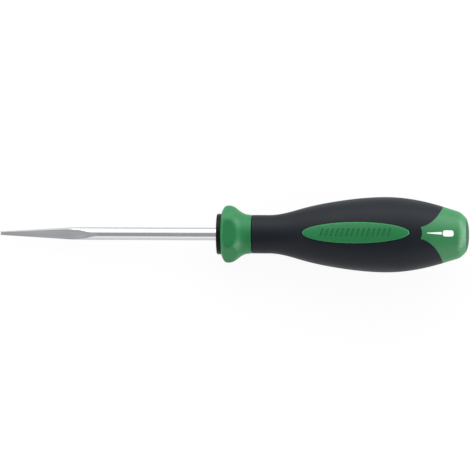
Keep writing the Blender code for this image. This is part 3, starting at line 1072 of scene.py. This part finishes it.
seen = add_node(
    white_card,
    "ShaderNodeMath",
    settings={"operation": "MAXIMUM"},
    links={0: ray.outputs["Is Camera Ray"], 1: ray.outputs["Is Glossy Ray"]},
)
seen_through = add_node(
    white_card,
    "ShaderNodeMath",
    settings={"operation": "MAXIMUM"},
    links={0: seen.outputs["Value"], 1: ray.outputs["Is Transmission Ray"]},
)
share = add_node(
    white_card,
    "ShaderNodeMath",
    settings={"operation": "MULTIPLY"},
    values={1: WHITE_SHARE},
    links={0: seen_through.outputs["Value"]},
)
card = add_node(
    white_card,
    "ShaderNodeMixShader",
    links={0: share.outputs["Value"], 1: paper.outputs["BSDF"], 2: plain_white.outputs["Emission"]},
)
add_node(white_card, "ShaderNodeOutputMaterial", links={"Surface": card.outputs["Shader"]})
bench.data.materials.append(white_card)


# Light. A studio tent that is white all round and greyer overhead, where the camera looks in, with one large
# soft lamp behind the tool, weaker ones in front of it and overhead, and a narrow one low down at each end.
TENT_SIDES = (0.80, 0.80, 0.80, 1)
TENT_ROOF = (0.50, 0.505, 0.51, 1)
LAMPS_AIM = Vector((0, 0, 0.01))
# Each lamp's name, place, width and height in metres, and power in watts.
LAMPS = (
    ("soft_lamp_behind", (0.0, 0.62, 0.33), (1.2, 0.62), 6.1),
    ("soft_lamp_in_front", (0.0, -0.64, 0.25), (1.2, 0.46), 0.95),
    ("soft_lamp_overhead", (0.0, 0.315, 0.625), (1.2, 0.26), 1.02),
    ("soft_lamp_at_end", (0.60, 0.0, 0.07), (1.2, 0.15), 6.5),
    ("soft_lamp_at_point", (-0.60, 0.0, 0.10), (1.2, 0.15), 2.2),
)

world = bpy.data.worlds.new("studio_tent")
bpy.context.scene.world = world
world.use_nodes = True
world.node_tree.nodes.clear()
direction = add_node(world, "ShaderNodeTexCoord")
upwards = add_node(world, "ShaderNodeSeparateXYZ", links={"Vector": direction.outputs["Generated"]})
overhead = add_node(
    world,
    "ShaderNodeMapRange",
    settings={"interpolation_type": "SMOOTHSTEP"},
    values={"From Min": 0.30, "From Max": 0.72},
    links={"Value": upwards.outputs["Z"]},
)
tent = add_node(
    world,
    "ShaderNodeMix",
    settings={"data_type": "RGBA"},
    values={6: TENT_SIDES, 7: TENT_ROOF},
    links={"Factor": overhead.outputs["Result"]},
)
tent_light = add_node(
    world, "ShaderNodeBackground", values={"Strength": 1.0}, links={"Color": tent.outputs[2]}
)
add_node(world, "ShaderNodeOutputWorld", links={"Surface": tent_light.outputs["Background"]})

for name, spot, size, power in LAMPS:
    lamp = bpy.data.lights.new(name, "AREA")
    lamp.shape = "RECTANGLE"
    lamp.size, lamp.size_y = size
    lamp.energy = power
    holder = bpy.data.objects.new(name, lamp)
    holder.location = spot
    holder.rotation_euler = (LAMPS_AIM - Vector(spot)).to_track_quat("-Z", "Y").to_euler()
    holder.visible_camera = False
    bpy.context.collection.objects.link(holder)


# Camera. A long lens almost straight above the tool, leaning a little towards the front and the point, so
# that the tool fills the picture from side to side.
FRAME_WIDTH = 0.2004
LENS = 420
SENSOR = 36
VIEW_FROM = Vector((-0.0184, -0.0576, 0.998))
VIEW_AIM = Vector((0.00035, -0.00037, 0.0110))
VIEW_ROLL = math.radians(0.52)

camera = bpy.data.cameras.new("camera")
camera.sensor_width = SENSOR
camera.lens = LENS
camera.clip_end = 20
camera_holder = bpy.data.objects.new("camera", camera)
bpy.context.collection.objects.link(camera_holder)
bpy.context.scene.camera = camera_holder
towards_camera = VIEW_FROM.normalized()
across = (Vector((1, 0, 0)) - towards_camera * towards_camera.x).normalized()
up = towards_camera.cross(across)
right = across * math.cos(VIEW_ROLL) + up * math.sin(VIEW_ROLL)
up = towards_camera.cross(right)
turn = Matrix((right, up, towards_camera)).transposed()
camera_holder.rotation_euler = turn.to_euler()
camera_holder.location = VIEW_AIM + towards_camera * (FRAME_WIDTH * LENS / SENSOR)

bpy.context.scene.view_settings.view_transform = "Standard"
